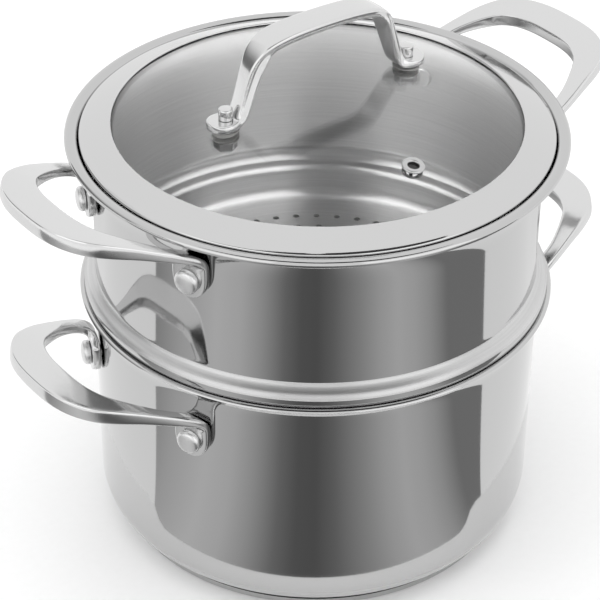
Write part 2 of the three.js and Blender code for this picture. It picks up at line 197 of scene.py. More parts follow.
# %% Ring-brushed stainless steel
# Gives the eye silky streaks. The rings are about 0.3 mm apart and drawn at 0.9 mm to show.
def brushed_sheet():
    finish, tree, shader, place = new_finish("stainless_sheet_ring_brushed")
    marks = ring_marks(tree, place, 0.9, arcs=1.5)
    tone = add(
        tree, "ShaderNodeMix", {"data_type": "RGBA"},
        {"A": colour("#BEBEBE"), "B": colour("#E0E0E0")}, {"Factor": marks.outputs["Fac"]},
    )
    tree.links.new(tone.outputs["Result"], shader.inputs["Base Color"])
    shader.inputs["Metallic"].default_value = 1.0
    shader.inputs["Anisotropic"].default_value = 0.85
    shader.inputs["Anisotropic Rotation"].default_value = 0.25
    round_axis = add(tree, "ShaderNodeTangent", {"direction_type": "RADIAL", "axis": "Z"})
    tree.links.new(round_axis.outputs[0], shader.inputs["Tangent"])
    gloss = add(
        tree, "ShaderNodeMapRange", values={"To Min": 0.3, "To Max": 0.4},
        links={"Value": marks.outputs["Fac"]},
    )
    tree.links.new(gloss.outputs[0], shader.inputs["Roughness"])
    lines = add(
        tree, "ShaderNodeBump", values={"Strength": 0.09, "Distance": 0.0001},
        links={"Height": marks.outputs["Fac"]},
    )
    tree.links.new(lines.outputs[0], shader.inputs["Normal"])
    return finish


brushed_steel = brushed_sheet()
print("finish:", brushed_steel.name)

# %% [markdown]
# Handles are cast, tumbled and buffed by hand, so they have no rings: a cloud of grain a few
# millimetres across varies their gloss instead. Rivet heads are only tumbled, which leaves them
# satin. The bore of the steam vent is painted dark, as painted shade for the inside of the hole.
# One function makes all three.

# %% Cast stainless steel
# Gives the eye a softer mirror than the sheet, with a slight unevenness.
def cast_steel(name, tone, smooth, rough):
    finish, tree, shader, place = new_finish(name)
    grain = add(
        tree, "ShaderNodeTexNoise", values={"Scale": 1 / (3 * MM), "Detail": 4.0},
        links={"Vector": place},
    )
    shader.inputs["Base Color"].default_value = colour(tone)
    shader.inputs["Metallic"].default_value = 1.0
    gloss = add(
        tree, "ShaderNodeMapRange", values={"To Min": smooth, "To Max": rough},
        links={"Value": grain.outputs["Fac"]},
    )
    tree.links.new(gloss.outputs[0], shader.inputs["Roughness"])
    pits = add(
        tree, "ShaderNodeBump", values={"Strength": 0.04, "Distance": 0.00005},
        links={"Height": grain.outputs["Fac"]},
    )
    tree.links.new(pits.outputs[0], shader.inputs["Normal"])
    return finish


buffed_steel = cast_steel("stainless_casting_buffed", "#D8D8D8", 0.09, 0.17)
satin_steel = cast_steel("stainless_rivet_satin", "#DEDEDE", 0.28, 0.36)
# The bore's dark grey is painted shade for the inside of the vent's hole.
bore_shade_finish = cast_steel("stainless_bore_painted_shade", "#4A4A4A", 0.45, 0.6)
print("finishes:", buffed_steel.name, satin_steel.name, bore_shade_finish.name)

# %% [markdown]
# The lid is tempered soda-lime glass, sagged into a mould. It is clear and smooth, and the heat
# leaves a slow wave in it that bends reflections slightly. The wave could be modelled, but it is
# so low that a bump is enough.

# %% Tempered glass
# Gives the eye a clear pane with sharp highlights that waver a little, every 60 mm or so.
def tempered_glass():
    finish, tree, shader, place = new_finish("soda_lime_glass_tempered")
    shader.inputs["Base Color"].default_value = colour("#FEFEFE")
    shader.inputs["Roughness"].default_value = 0.0
    shader.inputs["IOR"].default_value = 1.5
    shader.inputs["Transmission Weight"].default_value = 1.0
    wave = add(
        tree, "ShaderNodeTexNoise", values={"Scale": 1 / (60 * MM), "Detail": 1.0},
        links={"Vector": place},
    )
    bend = add(
        tree, "ShaderNodeBump", values={"Strength": 0.05, "Distance": 0.0002},
        links={"Height": wave.outputs["Fac"]},
    )
    tree.links.new(bend.outputs[0], shader.inputs["Normal"])
    return finish


clear_glass = tempered_glass()
print("finish:", clear_glass.name)

# %% [markdown]
# The seals at the lid's studs are moulded silicone: matt, and a little cloudy where the filler
# gathers. One plain grey would look like paint, so a soft noise shifts the tone.

# %% Moulded silicone
# Gives the eye a soft matt grey. The cloud is 1.5 mm across.
def silicone_rubber():
    finish, tree, shader, place = new_finish("silicone_moulded_grey")
    cloud = add(
        tree, "ShaderNodeTexNoise", values={"Scale": 1 / (1.5 * MM), "Detail": 3.0},
        links={"Vector": place},
    )
    tone = add(
        tree, "ShaderNodeMix", {"data_type": "RGBA"},
        {"A": colour("#8F8F8D"), "B": colour("#A3A3A1")}, {"Factor": cloud.outputs["Fac"]},
    )
    tree.links.new(tone.outputs["Result"], shader.inputs["Base Color"])
    shader.inputs["Roughness"].default_value = 0.6
    return finish


grey_silicone = silicone_rubber()
print("finish:", grey_silicone.name)

# %% [markdown]
# The disc in the base is rolled aluminium. It keeps its mill finish, with fine lines along the
# rolling direction, and a noise that is stretched along X draws them.

# %% Rolled aluminium
# Gives the eye a dull white metal with lines 0.8 mm apart.
def mill_aluminium():
    finish, tree, shader, place = new_finish("aluminium_disc_mill_finish")
    stretch = add(
        tree, "ShaderNodeMapping", values={"Scale": (1 / (40 * MM), 1 / (0.8 * MM), 1 / (2 * MM))},
        links={"Vector": place},
    )
    grain = add(
        tree, "ShaderNodeTexNoise", values={"Scale": 1.0, "Detail": 3.0},
        links={"Vector": stretch.outputs[0]},
    )
    tone = add(
        tree, "ShaderNodeMix", {"data_type": "RGBA"},
        {"A": colour("#B4B6B8"), "B": colour("#C6C8CA")}, {"Factor": grain.outputs["Fac"]},
    )
    tree.links.new(tone.outputs["Result"], shader.inputs["Base Color"])
    shader.inputs["Metallic"].default_value = 1.0
    shader.inputs["Roughness"].default_value = 0.4
    return finish


plain_aluminium = mill_aluminium()
print("finish:", plain_aluminium.name)

# %% [markdown]
# The base cap is brazed on in a furnace, and the gap where it meets the pot lies in shade. That
# shade could be left to the render, but a line this narrow only shows if it is painted, so the
# groove has a dark finish of its own: painted shade.

# %% Painted seam shade
# Gives the eye one dark line of painted shade at the seam, a little patchy every 2 mm.
def painted_seam_shade():
    finish, tree, shader, place = new_finish("seam_shade_painted_dark")
    spots = add(
        tree, "ShaderNodeTexNoise", values={"Scale": 1 / (2 * MM), "Detail": 2.0},
        links={"Vector": place},
    )
    tone = add(
        tree, "ShaderNodeMix", {"data_type": "RGBA"},
        {"A": colour("#1E1E1E"), "B": colour("#343434")}, {"Factor": spots.outputs["Fac"]},
    )
    tree.links.new(tone.outputs["Result"], shader.inputs["Base Color"])
    shader.inputs["Roughness"].default_value = 0.7
    return finish


seam_shade_finish = painted_seam_shade()
print("finish:", seam_shade_finish.name)

# %% [markdown]
# Both vessels end in the same kind of rim: the wall flares out like a trumpet, then rolls over
# into a small lip, which stiffens the edge and pours cleanly. The rim is worked out once, from
# its bend and its reach, as an outer and an inner line one wall apart. Its height at a radius is
# given back too, because the next vessel seats on it.

# %% Flared rim
LIP_ROLL, LIP_DROOP = 3.0, 60.0


def flared_rim(inner_r, wall, rim_z, bend_r, lip_out):
    turn = math.degrees(math.acos(1 - (lip_out - LIP_ROLL) / bend_r))
    rise = 90 - turn
    roll_r = LIP_ROLL / (math.sin(math.radians(rise)) + math.sin(math.radians(LIP_DROOP)))
    start_z = rim_z - roll_r * (1 - math.cos(math.radians(rise)))
    start_z -= bend_r * math.sin(math.radians(turn))
    lip_x = inner_r + lip_out - LIP_ROLL + roll_r * math.sin(math.radians(rise))

    def line(offset):
        flare = arc(inner_r + bend_r, start_z, bend_r - offset, 180, 180 - turn, 14)
        roll = arc(lip_x, rim_z - roll_r, roll_r - offset, 90 + rise, 90 - LIP_DROOP, 8)
        return flare + roll[1:]

    def height_at(r):
        return start_z + bend_r * math.sin(math.acos(1 - (r - inner_r) / bend_r))

    return line(wall), line(0)[::-1], height_at


POT_INNER_R, POT_WALL, POT_RIM_Z, POT_FLARE_R, POT_LIP_OUT = 100.5, 1.0, 121.0, 18.0, 7.0
pot_out, pot_in, pot_flare_z = flared_rim(
    POT_INNER_R, POT_WALL, POT_RIM_Z, POT_FLARE_R, POT_LIP_OUT,
)
print("pot flare starts at", round(pot_flare_z(POT_INNER_R), 1), "mm")

# %% [markdown]
# The stock pot is one deep-drawn sheet. Its section runs from the middle of the floor, round the
# bottom corner, up the wall and over the lip, and back down the inside. It could be a surface
# with a Solidify modifier, but two drawn lines keep the lip's edge as it is rolled. The faces
# inside take the brushed finish, up to where the flare begins to show.

# %% Stock pot
POT_OUTER_R = POT_INNER_R + POT_WALL
POT_CORNER_R, POT_CORNER_Z, BASE_H, BRUSH_TOP_Z = 17.0, 20.0, 5.0, 112.0


def pot_corner(offset, floor_z):
    radius = POT_CORNER_R - offset
    low = math.degrees(math.asin((floor_z - POT_CORNER_Z) / radius))
    return arc(POT_OUTER_R - POT_CORNER_R, POT_CORNER_Z, radius, low, 0, 12)


pot_section = [(0, BASE_H), *pot_corner(0, BASE_H), *pot_out, *pot_in]
pot_section += [*pot_corner(POT_WALL, BASE_H + POT_WALL)[::-1], (0, BASE_H + POT_WALL)]
bm = bmesh.new()
turned(bm, pot_section)
for face in bm.faces:
    mid = face.calc_center_median()
    inside = mid.xy.length < (POT_INNER_R - 0.2) * MM
    if inside and (BASE_H + POT_WALL / 2) * MM < mid.z < BRUSH_TOP_Z * MM:
        face.material_index = 1
piece("pot_shell", bm, "pot", "pot_body", [mirror_steel, brushed_steel])

# %% [markdown]
# Under the floor a steel cap is pressed over an aluminium disc and brazed on. Only the cap shows,
# as a thin foot below a dark line, so its lower edge is rounded to catch the light and a shallow
# groove above it carries painted shade for the gap at the seam. The disc stays the CAD solid and
# only gets its finish.

# %% Base cap
CAP_R, CAP_WALL, CAP_ROUND = POT_OUTER_R - 9.3, 0.9, 1.2
SEAM, GROOVE_H, GROOVE_IN = 0.3, 1.8, 0.5
groove_z, seam_z = BASE_H - GROOVE_H, BASE_H - SEAM
cap_section = [(0, 0), *arc(CAP_R - CAP_ROUND, CAP_ROUND, CAP_ROUND, -90, 0, 6), (CAP_R, groove_z)]
cap_section += [(CAP_R - GROOVE_IN, groove_z + 0.2), (CAP_R - GROOVE_IN, seam_z)]
cap_section += [(CAP_R - CAP_WALL, seam_z), (CAP_R - CAP_WALL, CAP_WALL + CAP_ROUND)]
cap_section += [(CAP_R - CAP_WALL - CAP_ROUND, CAP_WALL), (0, CAP_WALL)]
bm = bmesh.new()
turned(bm, cap_section)
# Faces above the groove's foot take the dark finish: painted shade for the gap between cap and pot.
for face in bm.faces:
    if face.calc_center_median().z > groove_z * MM:
        face.material_index = 1
piece("base_foot", bm, "pot", "base_cap", [mirror_steel, seam_shade_finish])
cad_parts["base_core"].data.materials.clear()
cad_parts["base_core"].data.materials.append(plain_aluminium)

# %% [markdown]
# The steamer hangs in the pot by a rolled bead, so its heights start from the seat: the place on
# the pot's flare where the bead touches, one small clearance above the steel.

# %% Steamer sizes
FIT = 0.3
SEAT_OUT, SKIRT_H, STEAMER_DEPTH = 2.6, 16.8, 96.8
SEAT_R = POT_INNER_R + SEAT_OUT
seat_slope = math.acos(1 - SEAT_OUT / POT_FLARE_R)
SEAT_Z = pot_flare_z(SEAT_R) + FIT / math.sin(seat_slope)
STEAMER_INNER_R, STEAMER_WALL = POT_INNER_R - 1.5, 1.0
STEAMER_OUTER_R = STEAMER_INNER_R + STEAMER_WALL
FLOOR_Z = SEAT_Z - SKIRT_H
STEAMER_RIM_Z = FLOOR_Z + STEAMER_DEPTH
SKIRT_R, SKIRT_CORNER, PLATE_R = POT_INNER_R - 3.0, 7.0, 82.0
STEAMER_FLARE_R, STEAMER_LIP_OUT = 27.0, 11.5
steamer_flare_z = flared_rim(
    STEAMER_INNER_R, STEAMER_WALL, STEAMER_RIM_Z, STEAMER_FLARE_R, STEAMER_LIP_OUT,
)[2]
print("steamer from", round(FLOOR_Z, 1), "to", round(STEAMER_RIM_Z, 1), "mm")

# %% [markdown]
# The bead and the lip are pressed between rollers, so they are free curves, not arcs. A smooth
# line through a few points gives them, and a second helper moves a line in by one wall, square to
# itself, which gives the other face of the sheet.

# %% Free curves
def through(points, steps):
    line = []
    for i in range(len(points) - 1):
        a, b = points[max(i - 1, 0)], points[i]
        c, d = points[i + 1], points[min(i + 2, len(points) - 1)]
        for k in range(steps):
            t = k / steps
            line.append(tuple(
                b[j] + 0.5 * t * (c[j] - a[j] + t * (
                    2 * a[j] - 5 * b[j] + 4 * c[j] - d[j]
                    + t * (3 * b[j] - a[j] - 3 * c[j] + d[j])))
                for j in (0, 1)
            ))
    return line + [points[-1]]


def set_in(line, wall):
    moved = []
    for i, (r, z) in enumerate(line):
        before, after = line[max(i - 1, 0)], line[min(i + 1, len(line) - 1)]
        dr, dz = after[0] - before[0], after[1] - before[1]
        size = math.hypot(dr, dz)
        moved.append((r - wall * dz / size, z + wall * dr / size))
    return moved


# %% [markdown]
# The side runs from the edge of the floor plate, round the skirt's corner and over the bead. The
# rim is drawn from the inside: the flare is an arc, and the lip lies flatter than the pot's, so
# that the lid's band can rest beside it. Each line has its partner one wall away.

# %% Steamer side
side_line = [(PLATE_R, FLOOR_Z), (PLATE_R + 4, FLOOR_Z)]
side_line += arc(SKIRT_R - SKIRT_CORNER, FLOOR_Z + SKIRT_CORNER, SKIRT_CORNER, -90, 0, 12)
side_line += through([
    (SKIRT_R + 0.1, SEAT_Z - 2.4), (SKIRT_R + 1.4, SEAT_Z - 0.9), (SEAT_R - 1.6, SEAT_Z - 0.5),
    (SEAT_R, SEAT_Z), (SEAT_R + 1.5, SEAT_Z + 1.7), (SEAT_R + 2.35, SEAT_Z + 3.8),
    (SEAT_R + 2.15, SEAT_Z + 6.2), (SEAT_R + 1.0, SEAT_Z + 8.1), (SEAT_R - 1.0, SEAT_Z + 9.35),
    (SEAT_R - 2.3, SEAT_Z + 10.4), (STEAMER_OUTER_R + 0.15, SEAT_Z + 11.7),
    (STEAMER_OUTER_R, SEAT_Z + 13.4),
], 6)
flare_z = steamer_flare_z(STEAMER_INNER_R)
rim_line = arc(STEAMER_INNER_R + STEAMER_FLARE_R, flare_z, STEAMER_FLARE_R, 180, 142.5, 12)[:-1]
rim_line += through([
    (STEAMER_INNER_R + out, STEAMER_RIM_Z + rise) for out, rise in (
        (5.6, -3.75), (6.3, -2.75), (7.3, -1.8), (8.6, -1.25), (10.0, -1.1),
        (11.1, -1.4), (11.8, -2.1), (12.0, -2.9), (11.9, -3.5),
    )
], 4)
side_section = side_line + set_in(rim_line, -STEAMER_WALL) + rim_line[::-1]
side_section += set_in(side_line, STEAMER_WALL)[::-1]
print("side section:", len(side_section), "points")

# %% [markdown]
# The floor is a plate with rings of drilled holes: ring n holds six times n, so the holes stay
# evenly spread. Booleans could cut them, but filling the plate between its edge and the hole
# circles gives clean faces at once. Extruding it downwards then makes the holes' walls.

# %% Perforated floor
HOLE_R, HOLE_PITCH, HOLE_RINGS = 1.5, 9.55, 8
bm = bmesh.new()
plate_z = (FLOOR_Z + STEAMER_WALL) * MM
bmesh.ops.create_circle(
    bm, segments=192, radius=PLATE_R * MM, matrix=Matrix.Translation((0, 0, plate_z)),
)
holes = 0
for ring in range(HOLE_RINGS + 1):
    count = max(1, 6 * ring)
    for i in range(count):
        a = 2 * math.pi * i / count
        spot = Vector((ring * HOLE_PITCH * math.cos(a), ring * HOLE_PITCH * math.sin(a), 0)) * MM
        spot.z = plate_z
        bmesh.ops.create_circle(
            bm, segments=14, radius=HOLE_R * MM, matrix=Matrix.Translation(spot),
        )
    holes += count
bmesh.ops.triangle_fill(bm, use_beauty=True, edges=bm.edges[:])
lowered = bmesh.ops.extrude_face_region(bm, geom=bm.faces[:])
under = [v for v in lowered["geom"] if isinstance(v, bmesh.types.BMVert)]
bmesh.ops.translate(bm, verts=under, vec=(0, 0, -STEAMER_WALL * MM))
print("floor holes:", holes)

# %% [markdown]
# The plate and the side are one drawn sheet, so the plate's outer edge is opened, the side is
# spun into the same bmesh and the two are welded. A count of open edges shows that the skin is
# closed. What faces inwards or upwards below the lip takes the brushed finish.

# %% Steamer shell
edge_wall = [
    f for f in bm.faces
    if all(v.co.xy.length > (PLATE_R - 0.3) * MM for v in f.verts)
    and abs(f.calc_center_median().z - plate_z + STEAMER_WALL * MM / 2) < 0.2 * MM
]
bmesh.ops.delete(bm, geom=edge_wall, context="FACES_ONLY")
turned(bm, side_section)
bmesh.ops.remove_doubles(bm, verts=bm.verts[:], dist=2e-5)
bmesh.ops.recalc_face_normals(bm, faces=bm.faces[:])
for face in bm.faces:
    mid = face.calc_center_median()
    out = Vector((mid.x, mid.y, 0)).normalized() if mid.xy.length > 1e-6 else Vector((0, 0, 0))
    facing_in = face.normal.dot(out) < -0.3 or face.normal.z > 0.3
    if facing_in and mid.z < (STEAMER_RIM_Z - 8) * MM:
        face.material_index = 1
print("steamer open edges:", sum(1 for e in bm.edges if len(e.link_faces) != 2))
piece(
    "steamer_shell", bm, "steamer", "steamer_body", [mirror_steel, brushed_steel],
)

# %% [markdown]
# A side handle is one casting: a flat, wide grip whose arms thin out, turn down against the wall
# and end in a round lug. It could be carved from a block, but a loft follows it better: one
# rounded section is extruded from station to station. A station gives the centre, half the width
# and half the thickness as vectors, how wide the underside is, and how square the corners are.

# %% Loft
def loft(bm, stations, sides=16):
    ring = bmesh.ops.create_circle(bm, segments=sides, radius=1.0)["verts"]
    edges = bm.edges[:]
    for i, (centre, across, thick, under, square) in enumerate(stations):
        if i:
            grown = bmesh.ops.extrude_edge_only(bm, edges=edges)["geom"]
            fresh = {v for v in grown if isinstance(v, bmesh.types.BMVert)}
            edges = [
                e for e in grown if isinstance(e, bmesh.types.BMEdge) and fresh.issuperset(e.verts)
            ]
            follows = {}
            for v in fresh:
                for e in v.link_edges:
                    other = e.other_vert(v)
                    if other in order:
                        follows[order[other]] = v
            ring = [follows[k] for k in range(sides)]
        order = {v: k for k, v in enumerate(ring)}
        for k, v in enumerate(ring):
            c, s = math.cos(2 * math.pi * k / sides), math.sin(2 * math.pi * k / sides)
            x = math.copysign(abs(c) ** square, c) * (under if s < 0 else 1.0)
            y = math.copysign(abs(s) ** square, s)
            v.co = (centre + across * x + thick * y) * MM
    ends = [e for e in bm.edges if len(e.link_faces) == 1]
    bmesh.ops.holes_fill(bm, edges=ends, sides=sides)


# %% [markdown]
# Seen from above, the grip lies between two loops. Each is half of a squared ellipse, which is
# rounder than a rectangle and fuller than an oval, and spreads a little where the arms reach the
# wall. Points are taken at equal shares of a loop's length, so that both loops can be paired.

# %% Loops of the grip
REACH, HALF_W, BAR_W, ARM_W = 49.0, 43.2, 16.2, 7.0


def ease(low, high, value):
    t = min(max((value - low) / (high - low), 0.0), 1.0)
    return t * t * (3 - 2 * t)


def loop_line(back, out, half, power, splay, steps=80):
    line = []
    for i in range(steps + 1):
        a = math.pi / 2 * (1 - i / steps)
        u = back + (out - back) * math.cos(a) ** (2 / power)
        v = half * math.sin(a) ** (2 / power)
        if u > 5.0:
            line.append(Vector((u, v + splay * (1 - ease(3, 17, u)), 0)))
    return line


def at_share(line, share):
    runs = [(b - a).length for a, b in zip(line, line[1:])]
    left = share * sum(runs)
    for (a, b), run in zip(zip(line, line[1:]), runs):
        if left <= run:
            return a.lerp(b, left / run)
        left -= run
    return line[-1].copy()


outer_loop = loop_line(2.5, REACH, HALF_W, 2.7, 4.0)
inner_loop = loop_line(-6.0, REACH - BAR_W, HALF_W - ARM_W, 2.9, 5.0)
print("grip is", round(at_share(outer_loop, 1).x - at_share(inner_loop, 1).x, 1), "mm wide")

# %% [markdown]
# Half a handle is three runs of stations. The lug stands flat against the wall and is round at
# the bottom. The neck turns from upright to lying. The grip follows the paired loops up a slope
# that flattens towards the end, and gets thicker as it leaves the arms.

# %% Stations of a handle
GRIP_T, ARM_T, SLOPE, ARCH, GRIP_STEPS = 6.6, 4.6, 0.635, 14.0, 18
LUG_W, LUG_T, LUG_TOP, RIVET_TURN = 17.0, 4.0, 15.0, math.radians(22.5)
RADIAL = Vector((math.cos(RIVET_TURN), math.sin(RIVET_TURN), 0))
ALONG = Vector((-math.sin(RIVET_TURN), math.cos(RIVET_TURN), 0))
LUG_HEIGHTS = (-8.45, -8.1, -7.2, -5.4, -2.8, 0.5, 4.0, 7.0)
# Each neck station: how far it has turned, then out, up and along in mm, and half its width.
NECKS = (
    (0.1, 0.0, 9.2, 1.6, 6.8), (0.35, 0.5, 11.0, 3.2, 5.1),
    (0.65, 1.7, 12.4, 4.0, 4.1), (0.9, 3.6, 13.6, 4.2, 3.6),
)


def lug_stations(lug_mid):
    half = LUG_W / 2
    stations = []
    for z in LUG_HEIGHTS:
        wide = math.sqrt(max(half ** 2 - z * z, 0.6)) if z < 0 else half
        stations.append((lug_mid + Vector((0, 0, z)), ALONG * wide, RADIAL * -LUG_T / 2, 1.0, 0.3))
    return stations


def neck_stations(lug_mid):
    normal = Vector((-SLOPE, 0, 1)).normalized()
    stations = []
    for turn, out, z, slide, wide in NECKS:
        thick = (RADIAL * -(1 - turn) + normal * turn).normalized() * ARM_T / 2
        side = ALONG.lerp(Vector((0, 1, 0)), turn).normalized()
        centre = lug_mid + RADIAL * out + ALONG * slide + Vector((0, 0, z))
        stations.append((centre, side * wide, thick, 1.0, 0.45))
    return stations


def grip_stations(outer_r):
    pairs = []
    for i in range(GRIP_STEPS + 1):
        share = (i + 0.6) / (GRIP_STEPS + 0.6)
        pair = [at_share(line, share) for line in (outer_loop, inner_loop)]
        for point in pair:
            point.z = LUG_TOP + SLOPE * point.x - ARCH * (point.x / REACH) ** 2
            point.x += outer_r
        pairs.append(pair)
    mids = [(a + b) / 2 for a, b in pairs]
    stations = []
    for i, (out, inn) in enumerate(pairs):
        run = mids[min(i + 1, GRIP_STEPS)] - mids[max(i - 1, 0)]
        if i == GRIP_STEPS:
            run = Vector((0, -1, 0))
        full = ease(8, 30, mids[i].x - outer_r)
        up = run.cross(out - inn).normalized()
        thick = up * (ARM_T + (GRIP_T - ARM_T) * full) / 2
        stations.append(((out + inn) / 2 - thick, (out - inn) / 2, thick, 1.0, 0.42 - 0.22 * full))
    return stations


print("stations in half a handle:", len(LUG_HEIGHTS) + len(NECKS) + GRIP_STEPS + 1)

# %% [markdown]
# Where the neck meets the grip, averaging each station with its neighbours a few times takes out
# the kinks, as a file would on the pattern. The other half is the mirror image, and the whole
# loft is then turned to its side of the vessel and lifted to its rivets.

# %% Side handles
EASED, EASE_PASSES = range(len(LUG_HEIGHTS), 20), 5


def handle_half(outer_r):
    lug_mid = RADIAL * (outer_r + FIT + LUG_T / 2)
    stations = lug_stations(lug_mid) + neck_stations(lug_mid) + grip_stations(outer_r)
    for _ in range(EASE_PASSES):
        eased = stations[:]
        for i in EASED:
            near = zip(stations[i - 1], stations[i], stations[i + 1])
            eased[i] = tuple(a * 0.25 + b * 0.5 + c * 0.25 for a, b, c in near)
        stations = eased
    return stations


def side_handle(name, node, body, outer_r, rivet_z, turn):
    half = handle_half(outer_r)
    flip = Matrix.Scale(-1, 4, (0, 1, 0))
    other = [(flip @ c, flip @ a, flip @ t, *form) for c, a, t, *form in half[-2::-1]]
    bm = bmesh.new()
    loft(bm, half + other)
    place = Matrix.Translation((0, 0, rivet_z * MM)) @ Matrix.Rotation(turn, 4, "Z")
    bmesh.ops.transform(bm, matrix=place, verts=bm.verts[:])
    piece(name, bm, body, node, [buffed_steel], sharp=80, subdivide=2)


POT_RIVET_Z, STEAMER_RIVET_Z = 93.0, STEAMER_RIM_Z - 24.0
for side, turn in (("left", math.pi), ("right", 0.0)):
    side_handle(f"pot_grip_{side}", f"pot_handle_{side}", "pot", POT_OUTER_R, POT_RIVET_Z, turn)
    side_handle(
        f"steamer_grip_{side}", f"steamer_handle_{side}", "steamer", STEAMER_OUTER_R,
        STEAMER_RIVET_Z, turn,
    )

# %% [markdown]
# Each lug is held by one thick rivet, upset on the inside. The head is a low drum with a domed
# top and a soft edge. It is spun upright like the rest and then swung round to point out of the
# wall.

# %% Rivets
def rivet(name, node, body, inner_r, outer_r, rivet_z, turn):
    head = outer_r + FIT + LUG_T
    tail = inner_r - FIT
    section = [(0, tail - 1.5), *arc(3.8, tail - 0.7, 0.8, -90, 0, 5), (4.6, tail)]
    section += [(3.0, tail), (3.0, head), (5.0, head), (5.5, head + 0.4)]
    section += [*arc(3.6, head + 1.5, 2.0, 0, 68, 12), (3.4, head + 3.66), (2.2, head + 3.88)]
    section += [(1.0, head + 3.98), (0, head + 4.0)]
    bm = bmesh.new()
    turned(bm, section, steps=64)
    place = Matrix.Translation((0, 0, rivet_z * MM)) @ Matrix.Rotation(turn, 4, "Z")
    place = place @ Matrix.Rotation(math.pi / 2, 4, "Y")
    bmesh.ops.transform(bm, matrix=place, verts=bm.verts[:])
    piece(name, bm, body, node, [satin_steel], sharp=50)


RIVET_PLACES = (
    ("left_front", math.pi + RIVET_TURN), ("left_rear", math.pi - RIVET_TURN),
    ("right_front", -RIVET_TURN), ("right_rear", RIVET_TURN),
)
for spot, turn in RIVET_PLACES:
    rivet(
        f"pot_pin_{spot}", f"pot_rivet_{spot}", "pot", POT_INNER_R, POT_OUTER_R, POT_RIVET_Z, turn,
    )
    rivet(
        f"steamer_pin_{spot}", f"steamer_rivet_{spot}", "steamer", STEAMER_INNER_R,
        STEAMER_OUTER_R, STEAMER_RIVET_Z, turn,
    )

# %% [markdown]
# The lid is a shallow dome of glass in a rolled steel band. The dome is part of a sphere, so the
# glass, the band and everything bolted through them take their height from one formula. The lid
# seats on the steamer's flare as the steamer does on the pot's.

# %% Lid glass
DOME_R, GLASS_T, BAND_WALL, LID_SEAT_OUT = 300.0, 3.2, 0.6, 3.8
LID_R = STEAMER_INNER_R + LID_SEAT_OUT
lid_slope = math.acos(1 - LID_SEAT_OUT / STEAMER_FLARE_R)
LID_SEAT_Z = steamer_flare_z(LID_R) + FIT / math.sin(lid_slope)
BAND_DROP = GLASS_T + FIT + BAND_WALL
GLASS_R = LID_R - BAND_WALL - FIT


def sag(r):
    return DOME_R - math.sqrt(DOME_R ** 2 - r ** 2)


LID_TOP_Z = LID_SEAT_Z + BAND_DROP + sag(LID_R)


def dome_line(start, end, lift, steps):
    radii = [start + (end - start) * i / steps for i in range(steps + 1)]
    return [(r, LID_TOP_Z - sag(r) + lift) for r in radii]


bm = bmesh.new()
turned(bm, dome_line(0, GLASS_R, -GLASS_T, 24) + dome_line(GLASS_R, 0, 0, 24))
piece("lid_dome", bm, "lid", "lid_glass", [clear_glass])

# %% [markdown]
# The band is a strip rolled to a ring and crimped over the glass: a broad flange on top, a hem at
# the edge and a shorter flange below. Its free edges are rounded, since rolled strip never ends
# in a knife edge. The section goes round it once and closes on itself.

# %% Lid band
BAND_TOP_R, BAND_UNDER_R = LID_R - 12.3, LID_R - 10.8
lift = FIT + BAND_WALL
top_z = LID_TOP_Z - sag(LID_R) + lift
low_z = LID_TOP_Z - sag(LID_R) - BAND_DROP
band_section = dome_line(BAND_UNDER_R, LID_R - 1.4, -BAND_DROP, 4)
band_section += [(LID_R - 0.4, low_z + 0.2), (LID_R + 0.35, low_z + 1.0)]
band_section += [(LID_R + 1.35, low_z + 2.2)]
band_section += arc(LID_R + 1.0, top_z - 1.45, 0.9, -10, 71, 9)
band_section += dome_line(LID_R + 0.9, BAND_TOP_R + 0.6, lift, 12)
edge_z = LID_TOP_Z - sag(BAND_TOP_R)
band_section += [(BAND_TOP_R + 0.3, edge_z + lift - 0.03), (BAND_TOP_R + 0.08, edge_z + lift - 0.2)]
band_section += [(BAND_TOP_R, edge_z + 0.5), (BAND_TOP_R + 0.08, edge_z + 0.22)]
band_section += [(BAND_TOP_R + 0.4, edge_z + 0.12)]
band_section += dome_line(BAND_TOP_R + 0.9, GLASS_R + FIT - 0.2, FIT, 8)
band_section += dome_line(GLASS_R + FIT - 0.2, BAND_UNDER_R, -GLASS_T - FIT, 4)
bm = bmesh.new()
turned(bm, band_section, closed=True)
piece("lid_band", bm, "lid", "lid_rim", [lightened_band_steel])

# %% [markdown]
# The lid's handle is a bow of thick strip: broad and flat on the crown, narrower in the legs,
# with round feet that take the studs. It is lofted like the side handles, along a line in the XZ
# plane. In the legs the inner face is wider than the outer one, so that the edge shows as a bevel.

# %% Lid bow
STUD_X, BOW_T, BOW_H, SEAL_H = 49.0, 4.4, 38.5, 1.6
FOOT_Z = LID_TOP_Z - sag(STUD_X) + SEAL_H
low, crown = FOOT_Z + BOW_T / 2, FOOT_Z + BOW_H - BOW_T / 2
